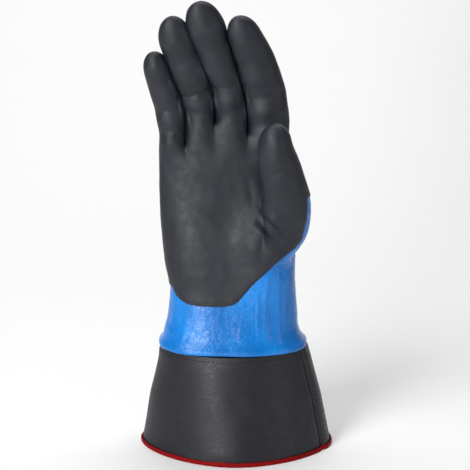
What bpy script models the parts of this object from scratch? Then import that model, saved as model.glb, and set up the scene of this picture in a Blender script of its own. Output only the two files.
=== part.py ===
"""Right-hand coated work glove with a sewn gauntlet cuff, standing on its hem.

Millimetres are used throughout and turned into metres when a mesh is made.
+X is the thumb side, -Y is the palm side, +Z runs from the hem to the fingertips.

The hand is one all-quad skin.  Each layer of the glove (knit liner, blue coat, black coat) is a
thin closed shell at its own depth under that skin, and the skin is parted at every finger joint
by a V-shaped opening whose apex is the hinge axis, so that the pieces can turn without touching.
"""
import math

import bmesh
import bpy
import numpy as np

MM = 0.001

# ---------------------------------------------------------------- driving dimensions, mm and deg
CENTRE_SHIFT = np.array([-0.6, 1.0, 0.0])  # puts the origin under the middle of the bounding box
GAP = 0.32                  # clearance between neighbouring pieces
BLACK_DEPTH = (0.0, 0.8)    # each layer: depth of its outer and inner face under the skin
BLUE_DEPTH = (1.15, 1.95)
LINER_DEPTH = (2.3, 3.4)
FINGER_COAT_DEPTH = (0.0, 1.3)
FINGER_LINER_DEPTH = (1.65, 2.85)
WRIST_COAT_DEPTH = (1.15, 1.95)

AXIS_UNDER_PALM = 6.0       # finger hinge axes run this far inside the palm-side surface
LOOP = 12                   # points round a finger
FRONT = 13                  # points across the palm side of the hand, and across its back

# Digits: hinge centres, tip, half widths and half depths.  A finger's stations run: base hinge,
# middle of the first phalanx, middle hinge, middle of the second, end hinge, pad, then the tip.
FINGERS = {
    "pinky": dict(base=(-43.0, -1.5, 229.5), middle=(-45.3, -4.0, 247.0), end=(-50.6, -10.0, 265.5),
                  pad=(-53.0, -14.0, 275.5), tip=(-54.2, -17.5, 285.7),
                  half_widths=(8.8, 9.2, 9.4, 9.4, 9.0, 8.1), depths=(9.3, 7.6), flex=(58, 75)),
    "ring": dict(base=(-23.8, -1.5, 242.0), middle=(-26.4, -5.0, 258.5), end=(-34.6, -13.0, 281.5),
                 pad=(-38.9, -18.0, 294.0), tip=(-41.6, -24.0, 309.4),
                 half_widths=(10.1, 10.4, 10.7, 11.1, 10.5, 9.9), depths=(10.0, 8.4), flex=(55, 75)),
    "middle": dict(base=(-2.3, -1.5, 242.0), middle=(-5.7, -6.0, 263.5), end=(-15.2, -14.8, 291.0),
                   pad=(-18.3, -19.5, 303.0), tip=(-22.4, -26.0, 318.7),
                   half_widths=(10.6, 10.2, 10.0, 10.2, 11.2, 11.9), depths=(10.3, 8.8), flex=(55, 75)),
    "index": dict(base=(22.8, -1.5, 235.5), middle=(20.1, -5.0, 257.0), end=(12.6, -12.4, 282.2),
                  pad=(8.0, -17.5, 295.5), tip=(4.0, -24.0, 310.1),
                  half_widths=(13.2, 13.0, 12.8, 12.7, 12.1, 11.0), depths=(10.7, 8.9), flex=(50, 60)),
}
THUMB = dict(root=(34.5, -25.7, 165.0), root_lean=(0.05, -0.78, 0.62), base=(34.5, -28.5, 178.0),
             middle=(33.4, -34.0, 195.5), end=(29.5, -39.0, 213.5), pad=(26.5, -42.0, 227.5),
             tip=(26.8, -45.0, 243.8), half_widths=(18.0, 17.0, 15.1, 13.8, 11.6),
             half_depths=(12.0, 12.5, 12.0, 11.5, 10.5))
FINGER_EXTENSION = 10       # how far every finger hinge but the end one bends backwards
END_FLEX_SHARE = 0.6        # the end joint follows the middle one at this rate
THUMB_BASE_SWING = (35, 25)     # across the palm, away from it
THUMB_END_SWING = (45, 10)
WRIST_SWING = (22, 16)      # towards the palm, backwards
WRIST_CENTRE = (-1.6, 0.0, 100.0)

# Webs between the fingers: where the saddle runs, and how far it drops to the palm and the back.
FINGER_EDGES = (-52.0, -33.6, -13.9, 8.4, 37.2)
WEB_HEIGHTS = (222.6, 235.9, 228.9)
WEB_DROP = (4.5, 9.0)
KNUCKLE_FRONT_HEIGHTS = (220.0, 222.5, 222.5, None, 229.0, 231.0, None, 231.5, 229.0, None, 226.5,
                         226.0, 224.0)
KNUCKLE_BACK_DROP = 4.0
KNUCKLE_FRONT_Y = -12.6
KNUCKLE_BACK_Y = 10.4

# Rows up the hand: height, little-finger edge, thumb edge, palm depth, back depth.
WRIST_ROWS = ((80.5, -52.3, 48.2, 30.0, 29.0), (89.0, -50.2, 45.6, 27.2, 26.4))
WRIST_CUT_ROW = (100.0, -47.6, 44.4, 24.6, 24.0)
PALM_ROWS = ((118.0, -46.2, 43.0, 21.5, 21.0), (129.0, -47.8, 42.5, 20.5, 20.5),
             (140.0, -49.4, 43.2, 19.5, 19.5), (151.0, -50.4, 47.6, 19.0, 19.0),
             (162.0, -51.2, 51.5, 18.5, 18.5), (173.0, -51.8, 48.0, 17.0, 18.0),
             (190.0, -52.1, 44.0, 15.0, 16.5), (206.0, -52.0, 40.5, 14.0, 14.5))
THUMB_COLUMN = 9            # the thumb grows from three columns and three rows that start here
THUMB_ROW = 2
BEAD_PROFILE = ((79.4, 1.3), (77.8, 1.9), (76.2, 1.5), (75.2, 0.2))     # height, how far it stands out
SECTION_POWER = 2.5         # 2 is an ellipse, more is boxier
CORNER = 0.93               # where the palm side turns into the edge, as a share of the half width

# Raised and hollow areas of the palm side: centre x and z, reach in x and z, height.
PALM_RELIEF = (
    (26.0, 140.0, 20.0, 30.0, 5.0),     # ball of the thumb
    (-30.0, 140.0, 20.0, 36.0, 2.6),    # heel below the little finger
    (-4.0, 182.0, 24.0, 26.0, -2.2),    # hollow of the palm
    (31.0, 190.0, 18.0, 16.0, -2.4),    # hollow behind the thumb
)

# Lower edge of the black coat: angle round the hand (0 palm, 90 thumb edge, 180 back), height.
BLACK_EDGE = ((-180, 204), (-140, 196), (-115, 160), (-95, 130), (-82, 119), (-64, 114.2), (-45, 111.6),
              (-15, 110.2), (0, 111.8), (15, 114.4), (31, 122.3), (43, 131), (51, 137.4), (60, 143.5),
              (71, 148), (80, 154), (90, 164), (110, 190), (140, 202), (180, 204))

# Cuff sections: height, half length, half depth, power (2 is an ellipse, less is more pinched),
# centre, and how far the little-finger end lies towards the back.
CUFF_TOP = dict(z=78.2, half_length=46.2, half_depth=25.6, power=2.0, centre=-2.1, tilt=0.0)
CUFF_NECK = dict(CUFF_TOP, z=74.9)
CUFF_SHOULDER = dict(z=73.2, half_length=50.3, half_depth=31.2, power=2.0, centre=-2.0, tilt=0.5)
CUFF_HEM = dict(z=0.9, half_length=67.3, half_depth=47.2, power=1.78, centre=0.4, tilt=3.5)
# The seam: angle round the cuff (0 is the thumb edge, 90 the palm side) and how far the fabric
# stands out.  The seam allowance, folded to the back, is the raised strip beside the groove.
SEAM_PROFILE = ((-17.5, 0.0), (-15.0, 1.3), (20.0, 1.3), (22.5, -0.45), (25.5, 0.0))
SEAM_STEP = 5.0                     # angle between the points of the raised strip
PLAIN_POINTS = 34                   # points round the rest of the cuff
SHELL_WALL = 1.2
LINING_WALL = 0.6
BINDING_WALL = 0.8
BINDING_HEIGHT = 3.3
THREAD_RADIUS = 0.35

COLOURS = {
    "black_foam": ((0.030, 0.031, 0.034), 0.72), "blue_coat": ((0.010, 0.120, 0.560), 0.34),
    "knit": ((0.62, 0.60, 0.55), 0.9), "cuff_canvas": ((0.018, 0.018, 0.022), 0.5),
    "cuff_lining": ((0.10, 0.10, 0.11), 0.85), "red_tape": ((0.42, 0.010, 0.022), 0.6),
    "black_thread": ((0.02, 0.02, 0.02), 0.6), "red_thread": ((0.35, 0.01, 0.02), 0.6),
}


# ---------------------------------------------------------------- small helpers
def unit(vector):
    vector = np.asarray(vector, float)
    return vector / np.linalg.norm(vector)


def mix(a, b, share):
    return np.asarray(a, float) * (1 - share) + np.asarray(b, float) * share


def section_frame(tangent):
    """Sideways and palm-side directions of a cross-section that faces along the tangent."""
    side = unit(np.cross((0, 1, 0), tangent))
    return side, unit(np.cross(side, tangent))


def relief(x, z):
    """How far the palm side stands out at a place, from its raised and hollow areas."""
    total = 0.0
    for cx, cz, rx, rz, height in PALM_RELIEF:
        total += height * math.exp(-((x - cx) / rx) ** 2 - ((z - cz) / rz) ** 2)
    return total


class Hinge:
    """A joint: its place and axis, and the V-shaped opening that the skin has there."""

    def __init__(self, name, centre, tangent, half_width, half_depth, swing, across=False, axis_depth=None):
        self.name = name
        self.centre = np.asarray(centre, float)
        self.tangent = unit(tangent)
        self.side, self.palm = section_frame(self.tangent)
        self.half_width, self.half_depth = half_width, half_depth
        self.swing = swing              # towards the bending side, and away from it
        self.bend = -self.side if across else self.palm
        self.axis_shift = 0.0 if axis_depth is None else half_depth - axis_depth
        self.axis = -self.palm if across else self.side
        self.point = self.centre + self.bend * self.axis_shift

    def opening(self, place):
        """Half the opening, along the tangent, at a place in the cross-section."""
        reach = float(np.dot(place, self.bend)) - self.axis_shift
        angle = self.swing[0] if reach > 0 else self.swing[1]
        return GAP / 2 + abs(reach) * math.tan(math.radians(angle) / 2)

    def lip(self, place, direction, depth=0.0):
        """A point of the opening's lip: direction is -1 below the hinge and 1 above it."""
        u, v = float(np.dot(place, self.side)), float(np.dot(place, self.palm))
        slope = np.array([u / self.half_width ** 2, v / self.half_depth ** 2])
        u, v = np.array([u, v]) - depth * slope / np.linalg.norm(slope)
        inside = self.side * u + self.palm * v
        return self.centre + inside + self.tangent * direction * self.opening(inside)


class Skin:
    """The hand's outer surface: points, triangles by region, and the lips of the openings."""

    def __init__(self):
        self.points, self.lips, self.splits, self.regions, self.set_normals = [], {}, {}, {}, {}

    def add(self, point, normal=None):
        self.points.append(np.asarray(point, float))
        if normal is not None:
            self.set_normals[len(self.points) - 1] = unit(normal)
        return len(self.points) - 1

    def add_lip(self, hinge, place, direction):
        index = self.add(hinge.lip(place, direction))
        self.lips[index] = (hinge, np.asarray(place, float), direction)
        return index

    def quad(self, region, a, b, c, d):
        self.regions.setdefault(region, []).extend([(a, b, c), (a, c, d)])

    def band(self, region, lower, upper, skip=()):
        count = len(lower)
        for i in range(count):
            if i not in skip:
                j = (i + 1) % count
                self.quad(region, lower[i], lower[j], upper[j], upper[i])

    def finish(self):
        """Point normals, averaged over the faces that meet there by the angle of each corner."""
        self.normals = np.zeros((len(self.points), 3))
        for triangles in self.regions.values():
            for triangle in triangles:
                corners = [self.points[i] for i in triangle]
                normal = unit(np.cross(corners[1] - corners[0], corners[2] - corners[0]))
                for i, index in enumerate(triangle):
                    before, after = unit(corners[i - 1] - corners[i]), unit(corners[(i + 1) % 3] - corners[i])
                    self.normals[index] += normal * math.acos(np.clip(np.dot(before, after), -1, 1))
        lengths = np.linalg.norm(self.normals, axis=1)
        self.normals /= np.where(lengths > 0, lengths, 1)[:, None]
        for index, normal in self.set_normals.items():
            self.normals[index] = normal

    def at_depth(self, index, depth):
        if index in self.splits:
            a, b, share = self.splits[index]
            return mix(self.at_depth(a, depth), self.at_depth(b, depth), share)
        if index in self.lips:
            hinge, place, direction = self.lips[index]
            return hinge.lip(place, direction, depth)
        return self.points[index] - self.normals[index] * depth

    def above(self, region, height):
        """The part of a region where height(point) is positive, cut cleanly along its zero line."""
        kept, cut_points = [], {}

        def cut(a, b):
            key = (min(a, b), max(a, b))
            if key not in cut_points:
                ha, hb = (height(self.points[i]) for i in key)
                cut_points[key] = self.add(mix(self.points[key[0]], self.points[key[1]], ha / (ha - hb)))
                self.splits[cut_points[key]] = (key[0], key[1], ha / (ha - hb))
            return cut_points[key]

        for triangle in self.regions[region]:
            outline = []
            for i, a in enumerate(triangle):
                b = triangle[(i + 1) % 3]
                inside_a, inside_b = height(self.points[a]) > 0, height(self.points[b]) > 0
                if inside_a:
                    outline.append(a)
                if inside_a != inside_b:
                    outline.append(cut(a, b))
            kept += [(outline[0], outline[i], outline[i + 1]) for i in range(1, len(outline) - 1)]
        return kept


# ---------------------------------------------------------------- the hand's skin
def digit_places(half_width, half_depth, side, palm):
    """Twelve places round a section, from the palm side's little-finger corner anticlockwise."""
    places = []
    for i in range(LOOP):
        angle = math.radians(-45 + 30 * i)
        places.append(side * half_width * math.sin(angle) + palm * half_depth * math.cos(angle))
    return places


def hand_row(row, upper_share=0.0):
    """One ring round the hand.  upper_share moves its columns towards the finger edges."""
    z, low_x, high_x, palm_depth, back_depth = row
    centre, half = (low_x + high_x) / 2, (high_x - low_x) / 2
    edges = np.interp(range(FRONT), range(0, FRONT, 3), FINGER_EDGES)
    toward = (edges - edges[0]) / (edges[-1] - edges[0]) * 2 - 1
    even = np.linspace(-1, 1, FRONT)
    shares = CORNER * (even * (1 - upper_share) + toward * upper_share)
    ring = []
    for share in shares:
        x = centre + half * share
        depth = palm_depth * (1 - abs(share) ** SECTION_POWER) ** (1 / SECTION_POWER)
        ring.append((x, -depth - relief(x, z), z))
    ring += [(high_x, -0.2 * palm_depth, z), (high_x, 0.2 * back_depth, z)]
    for share in shares[::-1]:
        depth = back_depth * (1 - abs(share) ** SECTION_POWER) ** (1 / SECTION_POWER)
        ring.append((centre + half * share, depth, z))
    ring += [(low_x, 0.2 * back_depth, z), (low_x, -0.2 * palm_depth, z)]
    return ring


def knuckle_ring(skin):
    """The ring that the four fingers grow from, and the saddle points of the three webs."""
    xs = np.interp(range(FRONT), range(0, FRONT, 3), FINGER_EDGES)
    xs[0] += 1.9
    xs[-1] -= 1.9
    front_z = list(KNUCKLE_FRONT_HEIGHTS)
    back_z = [None if z is None else z - KNUCKLE_BACK_DROP for z in front_z]
    for web, height in enumerate(WEB_HEIGHTS):
        front_z[3 * web + 3] = height - WEB_DROP[0]
        back_z[3 * web + 3] = height - WEB_DROP[1]
    front, back = [], []
    for column, x in enumerate(xs):
        at_web = column in (3, 6, 9)
        corner = column in (0, FRONT - 1)
        bow = 0.68 if corner else (0.86 if at_web else 1.0)
        leans = [(0, -1, 0.55), (0, 1, 0.55)] if at_web else [None, None]
        y = KNUCKLE_FRONT_Y * bow - relief(x, front_z[column])
        front.append(skin.add((x, y, front_z[column]), leans[0]))
        back.append(skin.add((x, KNUCKLE_BACK_Y * bow, back_z[column]), leans[1]))
    right = [skin.add((FINGER_EDGES[-1], y, front_z[-1] - 1.5)) for y in (-3.2, 2.4)]
    left = [skin.add((FINGER_EDGES[0], y, front_z[0] - 1.5)) for y in (2.4, -3.2)]
    webs = []
    for web, height in enumerate(WEB_HEIGHTS):
        x = FINGER_EDGES[web + 1]
        webs.append([skin.add((x, y, height - drop), (0, 0, 1)) for y, drop in ((-4.2, 0.0), (2.6, 1.5))])
    return front, right, back, left, webs


def cap(skin, region, loop, places, centre):
    """Closes a tip: a three by three patch of quads with four points of its own."""
    inner = [skin.add(centre + places[i] * 0.42) for i in (0, 3, 6, 9)]
    a, b, c, d = inner
    for quad in ((loop[0], loop[1], a, loop[11]), (loop[1], loop[2], b, a), (loop[2], loop[3], loop[4], b),
                 (b, loop[4], loop[5], c), (c, loop[5], loop[6], loop[7]), (d, c, loop[7], loop[8]),
                 (loop[10], d, loop[8], loop[9]), (loop[11], a, d, loop[10]), (a, b, c, d)):
        skin.quad(region, *quad)


def plain_loop(skin, centre, tangent, half_width, half_depth):
    side, palm = section_frame(unit(tangent))
    places = digit_places(half_width, half_depth, side, palm)
    return [skin.add(centre + place) for place in places]


def hinge_loops(skin, hinge):
    places = digit_places(hinge.half_width, hinge.half_depth, hinge.side, hinge.palm)
    return [[skin.add_lip(hinge, place, direction) for place in places] for direction in (-1, 1)]


def tip_loops(skin, region, loop, pad, tip, half_width, half_depth):
    """Rounds a digit off from its pad to its tip."""
    tangent = unit(np.subtract(tip, pad))
    side, palm = section_frame(tangent)
    places = digit_places(half_width, half_depth, side, palm)
    near = [skin.add(mix(pad, tip, 0.63) + place * 0.79) for place in places]
    skin.band(region, loop, near)
    cap(skin, region, near, places, mix(pad, tip, 0.97))


def finger(skin, name, spec, root_loop, hinges):
    base, middle, end, pad, tip = (np.asarray(spec[k], float) for k in ("base", "middle", "end", "pad", "tip"))
    stations = [base, (base + middle) / 2, middle, (middle + end) / 2, end, pad]
    widths = spec["half_widths"]
    depths = np.linspace(spec["depths"][0], spec["depths"][1], len(stations))
    directions = [middle - base + (0, 2, 12), middle - base, end - base, end - middle, pad - middle, tip - end]
    base_flex, middle_flex = spec["flex"]
    swings = {0: (base_flex, FINGER_EXTENSION), 2: (middle_flex, 4), 4: (middle_flex * END_FLEX_SHARE, 3)}
    labels = {0: "base", 2: "middle", 4: "tip"}
    lower, region = root_loop, "palm"
    for i, station in enumerate(stations):
        if i in swings:
            hinge = Hinge(f"{name}_{labels[i]}", station, directions[i], widths[i], depths[i], swings[i],
                          axis_depth=AXIS_UNDER_PALM)
            below, above = hinge_loops(skin, hinge)
            hinges[hinge.name] = hinge
            skin.band(region, lower, below)
            lower, region = above, hinge.name
        else:
            loop = plain_loop(skin, station, directions[i], widths[i], depths[i])
            skin.band(region, lower, loop)
            lower = loop
    tip_loops(skin, region, lower, pad, tip, widths[-1], depths[-1])


def thumb(skin, root_loop, hinges):
    spec = THUMB
    root, base, middle, end, pad, tip = (np.asarray(spec[k], float)
                                         for k in ("root", "base", "middle", "end", "pad", "tip"))
    widths, depths = spec["half_widths"], spec["half_depths"]
    loop = plain_loop(skin, root, spec["root_lean"], widths[0], depths[0])
    skin.band("palm", root_loop, loop)
    hinge = Hinge("thumb_base", base, middle - base, widths[1], depths[1], THUMB_BASE_SWING, across=True)
    below, above = hinge_loops(skin, hinge)
    hinges[hinge.name] = hinge
    skin.band("palm", loop, below)
    loop = plain_loop(skin, middle, end - base, widths[2], depths[2])
    skin.band("thumb_base", above, loop)
    hinge = Hinge("thumb_tip", end, pad - middle, widths[3], depths[3], THUMB_END_SWING, across=True)
    below, above = hinge_loops(skin, hinge)
    hinges[hinge.name] = hinge
    skin.band("thumb_base", loop, below)
    loop = plain_loop(skin, pad, tip - end, widths[4], depths[4])
    skin.band("thumb_tip", above, loop)
    tip_loops(skin, "thumb_tip", loop, pad, tip, widths[4], depths[4])


def build_skin():
    """The whole hand, from the bead at the wrist to the fingertips, and its hinges by name."""
    skin, hinges = Skin(), {}
    bead = []
    first = WRIST_ROWS[0]
    for z, proud in BEAD_PROFILE[::-1]:
        row = (z, first[1] - proud, first[2] + proud, first[3] + proud, first[4] + proud)
        bead.append([skin.add(p) for p in hand_row(row)])
    rows = [[skin.add(p) for p in hand_row(row)] for row in WRIST_ROWS]
    for lower, upper in zip(bead, bead[1:] + rows[:1]):
        skin.band("bead", lower, upper)

    wrist = Hinge("wrist", WRIST_CENTRE, (0, 0, 1), (WRIST_CUT_ROW[2] - WRIST_CUT_ROW[1]) / 2,
                  WRIST_CUT_ROW[3], WRIST_SWING)
    wrist.point = np.array([0.0, 0.0, WRIST_CENTRE[2]])
    hinges["wrist"] = wrist
    places = [np.subtract(p, WRIST_CENTRE) for p in hand_row(WRIST_CUT_ROW)]
    below, above = ([skin.add_lip(wrist, place, direction) for place in places] for direction in (-1, 1))
    skin.band("wrist", rows[0], rows[1])
    skin.band("wrist", rows[1], below)

    count = len(PALM_ROWS)
    palm = [[skin.add(p) for p in hand_row(row, (i + 1) / count)] for i, row in enumerate(PALM_ROWS)]
    skin.band("palm", above, palm[0])
    thumb_faces = range(THUMB_COLUMN, THUMB_COLUMN + 3)
    for i in range(count - 1):
        in_thumb = THUMB_ROW <= i < THUMB_ROW + 3
        skin.band("palm", palm[i], palm[i + 1], skip=thumb_faces if in_thumb else ())
    front, right, back, left, webs = knuckle_ring(skin)
    skin.band("palm", palm[-1], front + right + back[::-1] + left)

    edges = [left[::-1]] + webs + [right]
    for i, (name, spec) in enumerate(FINGERS.items()):
        loop = front[3 * i:3 * i + 4] + edges[i + 1] + back[3 * i:3 * i + 4][::-1] + edges[i][::-1]
        finger(skin, name, spec, loop, hinges)

    c, r = THUMB_COLUMN, THUMB_ROW
    root_loop = [palm[r][c + k] for k in range(4)] + [palm[r + 1][c + 3], palm[r + 2][c + 3]]
    root_loop += [palm[r + 3][c + 3 - k] for k in range(4)] + [palm[r + 2][c], palm[r + 1][c]]
    thumb(skin, root_loop, hinges)
    skin.finish()
    return skin, hinges


def above_black_edge(point):
    """Positive where the black coat covers the hand."""
    angle = math.degrees(math.atan2(point[0] + 2.0, -point[1]))
    return point[2] - float(np.interp(angle, [a for a, _ in BLACK_EDGE], [z for _, z in BLACK_EDGE]))


# ---------------------------------------------------------------- making objects
def material(name):
    made = bpy.data.materials.get(name)
    if made is None:
        colour, roughness = COLOURS[name]
        made = bpy.data.materials.new(name)
        made.use_nodes = True
        shader = made.node_tree.nodes["Principled BSDF"]
        shader.inputs["Base Color"].default_value = (*colour, 1)
        shader.inputs["Roughness"].default_value = roughness
        shader.inputs["Metallic"].default_value = 0.0
    return made


def make_object(name, points, faces, material_name, hinge=None, parents=None):
    """A mesh object from points in the glove's frame, its origin on its hinge if it has one."""
    origin = hinge.point + CENTRE_SHIFT if hinge else np.zeros(3)
    local = (np.asarray(points, float) + CENTRE_SHIFT - origin) * MM
    mesh = bpy.data.meshes.new(name)
    mesh.from_pydata([tuple(p) for p in local], [], faces)
    cleaner = bmesh.new()
    cleaner.from_mesh(mesh)
    loose = [v for v in cleaner.verts if not v.link_faces]
    bmesh.ops.delete(cleaner, geom=loose, context="VERTS")
    bmesh.ops.triangulate(cleaner, faces=[f for f in cleaner.faces if len(f.verts) > 3])
    cleaner.to_mesh(mesh)
    cleaner.free()
    mesh.shade_smooth()
    mesh.set_sharp_from_angle(angle=math.radians(45))
    mesh.materials.append(material(material_name))
    made = bpy.data.objects.new(name, mesh)
    bpy.context.collection.objects.link(made)
    if hinge:
        made.parent = parents[hinge.name]
    return made


def make_shell(name, skin, triangles, depths, material_name, hinge=None, parents=None):
    """A thin closed wall between two depths under the skin, open where the skin is open."""
    used = sorted({i for triangle in triangles for i in triangle})
    number = {index: i for i, index in enumerate(used)}
    count = len(used)
    points = [skin.at_depth(i, depths[0]) for i in used] + [skin.at_depth(i, depths[1]) for i in used]
    faces, border = [], {}
    for a, b, c in triangles:
        a, b, c = number[a], number[b], number[c]
        faces += [(a, b, c), (c + count, b + count, a + count)]
        for edge in ((a, b), (b, c), (c, a)):
            if edge[::-1] in border:
                del border[edge[::-1]]
            else:
                border[edge] = True
    for a, b in border:
        faces.append((b, a, a + count, b + count))
    return make_object(name, points, faces, material_name, hinge, parents)


def make_empties(hinges):
    """One empty on each joint axis, parented as the real pieces hang on each other."""
    order = [("wrist", None), ("thumb_base", "wrist"), ("thumb_tip", "thumb_base")]
    for name in FINGERS:
        order += [(f"{name}_base", "wrist"), (f"{name}_middle", f"{name}_base"), (f"{name}_tip", f"{name}_middle")]
    empties = {}
    for name, parent in order:
        empty = bpy.data.objects.new(f"{name}_hinge", None)
        empty.empty_display_size = 0.01
        bpy.context.collection.objects.link(empty)
        place = hinges[name].point + CENTRE_SHIFT
        if parent:
            empty.parent = empties[parent]
            place = place - hinges[parent].point - CENTRE_SHIFT
        empty.location = place * MM
        empties[name] = empty
    return empties


# ---------------------------------------------------------------- the cuff
def cuff_section(z):
    """The cuff's section at a height, read between its given sections."""
    sections = (CUFF_HEM, CUFF_SHOULDER, CUFF_NECK, CUFF_TOP)
    heights = [s["z"] for s in sections]
    return {key: float(np.interp(z, heights, [s[key] for s in sections])) for key in CUFF_HEM}


def cuff_angles():
    """Angles of the points round the cuff, closer together at the seam."""
    first, last = SEAM_PROFILE[0][0], SEAM_PROFILE[-1][0]
    seam = [angle for angle, _ in SEAM_PROFILE]
    strip = list(np.arange(seam[1] + SEAM_STEP, seam[2], SEAM_STEP))
    plain = list(np.linspace(last, first + 360, PLAIN_POINTS + 2)[1:-1])
    return sorted(seam + strip + plain)


def cuff_outline(z, outward, seam):
    """Points round the cuff, clockwise from above, moved outwards from the wall's outer face."""
    section = cuff_section(z)
    shape = 2 / section["power"]
    angles = cuff_angles()
    points = []
    for angle in angles:
        c, s = math.cos(math.radians(angle)), math.sin(math.radians(angle))
        x = section["centre"] + section["half_length"] * math.copysign(abs(c) ** shape, c)
        y = -section["half_depth"] * math.copysign(abs(s) ** shape, s)
        points.append((x, y + section["tilt"] * max(0.0, -c) ** 2, z))
    points = np.array(points)
    along = np.roll(points, -1, axis=0) - np.roll(points, 1, axis=0)
    normals = np.column_stack([-along[:, 1], along[:, 0], np.zeros(len(points))])
    normals /= np.linalg.norm(normals, axis=1)[:, None]
    raised = np.interp(angles, *np.transpose(SEAM_PROFILE)) if seam else np.zeros(len(angles))
    return list(points + normals * (outward + raised)[:, None])


def plain_part(outline):
    """The run of an outline that starts and ends at the raised strip."""
    first = cuff_angles().index(SEAM_PROFILE[-1][0])
    return outline[first:]


def ring_solid(name, outlines, material_name):
    """A closed ring: outlines with equal counts, each joined to the next and the last to the first."""
    count = len(outlines[0])
    points = [p for outline in outlines for p in outline]
    faces = []
    for row in range(len(outlines)):
        following = (row + 1) % len(outlines)
        for i in range(count):
            j = (i + 1) % count
            faces.append((row * count + i, row * count + j, following * count + j, following * count + i))
    made = make_object(name, points, faces, material_name)
    outward = bmesh.new()
    outward.from_mesh(made.data)
    bmesh.ops.recalc_face_normals(outward, faces=outward.faces)
    outward.to_mesh(made.data)
    outward.free()
    return made


def thread_ring(name, route, material_name, closed=True):
    """A thread as a thin tube along a route of points."""
    curve = bpy.data.curves.new(name, "CURVE")
    curve.dimensions = "3D"
    curve.bevel_depth = THREAD_RADIUS * MM
    curve.bevel_resolution = 0
    curve.use_fill_caps = not closed
    spline = curve.splines.new("POLY")
    spline.points.add(len(route) - 1)
    for point, place in zip(spline.points, route):
        point.co = (*((place + CENTRE_SHIFT) * MM), 1)
    spline.use_cyclic_u = closed
    curve.materials.append(material(material_name))
    made = bpy.data.objects.new(name, curve)
    bpy.context.collection.objects.link(made)
    return made


def cuff():
    fabric_low = BINDING_WALL + GAP
    outer_levels = (fabric_low, BINDING_HEIGHT, 26.0, 50.0, CUFF_SHOULDER["z"])
    top = CUFF_TOP["z"]
    neck = (CUFF_NECK["z"], top)
    shell_outer = [cuff_outline(z, 0.0, True) for z in outer_levels] + [cuff_outline(z, 0.0, False) for z in neck]
    shell_inner = [cuff_outline(z, -SHELL_WALL, False) for z in neck[::-1] + outer_levels[::-1]]
    ring_solid("cuff_shell", shell_outer + shell_inner, "cuff_canvas")

    near, far = -SHELL_WALL - GAP, -SHELL_WALL - GAP - LINING_WALL
    lining_levels = outer_levels + (neck[0], top - 1.4)
    lining = [cuff_outline(z, near, False) for z in lining_levels]
    lining += [cuff_outline(z, far, False) for z in lining_levels[::-1]]
    ring_solid("cuff_lining", lining, "cuff_lining")

    def at_hem(z, outward, seam):
        """Binding outlines follow the hem's own section, whatever their height."""
        return [np.array([p[0], p[1], z]) for p in cuff_outline(fabric_low, outward, seam)]

    wall, tall = BINDING_WALL, BINDING_HEIGHT
    outside = cuff_outline(BINDING_HEIGHT, GAP + wall, True)
    profile = [at_hem(0, GAP + wall, True), outside, cuff_outline(tall, GAP, True),
               at_hem(wall, GAP, True), at_hem(wall, far - GAP, False),
               cuff_outline(tall, far - GAP, False), cuff_outline(tall, far - GAP - wall, False),
               at_hem(0, far - GAP - wall, False)]
    ring_solid("hem_binding", profile, "red_tape")

    clear = THREAD_RADIUS + GAP
    thread_ring("attachment_stitching", plain_part(cuff_outline(71.6, clear, True)), "black_thread", closed=False)
    hem_route = plain_part(cuff_outline(BINDING_HEIGHT + clear + 0.4, clear, True))
    thread_ring("binding_stitching", hem_route, "red_thread", closed=False)
    strip = cuff_angles().index(SEAM_PROFILE[2][0])
    seam_route = [cuff_outline(z, clear, True)[strip] for z in np.linspace(7.0, 69.0, 12)]
    thread_ring("seam_stitching", seam_route, "black_thread", closed=False)


# ---------------------------------------------------------------- the glove
def main():
    for old in list(bpy.data.objects):
        bpy.data.objects.remove(old, do_unlink=True)
    skin, hinges = build_skin()
    empties = make_empties(hinges)
    cuff()
    make_shell("wrist_coat_blue", skin, skin.regions["bead"] + skin.regions["wrist"], WRIST_COAT_DEPTH,
               "blue_coat")
    make_shell("wrist_liner", skin, skin.regions["wrist"], LINER_DEPTH, "knit")
    palm, wrist = skin.regions["palm"], hinges["wrist"]
    make_shell("palm_coat_blue", skin, palm, BLUE_DEPTH, "blue_coat", wrist, empties)
    make_shell("palm_liner", skin, palm, LINER_DEPTH, "knit", wrist, empties)
    make_shell("palm_coat_black", skin, skin.above("palm", above_black_edge), BLACK_DEPTH, "black_foam",
               wrist, empties)
    for name, hinge in hinges.items():
        if name != "wrist":
            region = skin.regions[name]
            make_shell(f"{name}_coat", skin, region, FINGER_COAT_DEPTH, "black_foam", hinge, empties)
            make_shell(f"{name}_liner", skin, region, FINGER_LINER_DEPTH, "knit", hinge, empties)


main()
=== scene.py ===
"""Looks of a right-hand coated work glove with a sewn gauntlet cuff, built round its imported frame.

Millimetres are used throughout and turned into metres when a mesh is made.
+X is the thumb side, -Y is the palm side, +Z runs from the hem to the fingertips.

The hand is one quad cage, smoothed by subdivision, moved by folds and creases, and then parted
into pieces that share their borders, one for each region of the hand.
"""
import math

import bpy
import numpy as np
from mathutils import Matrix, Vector, noise


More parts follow.
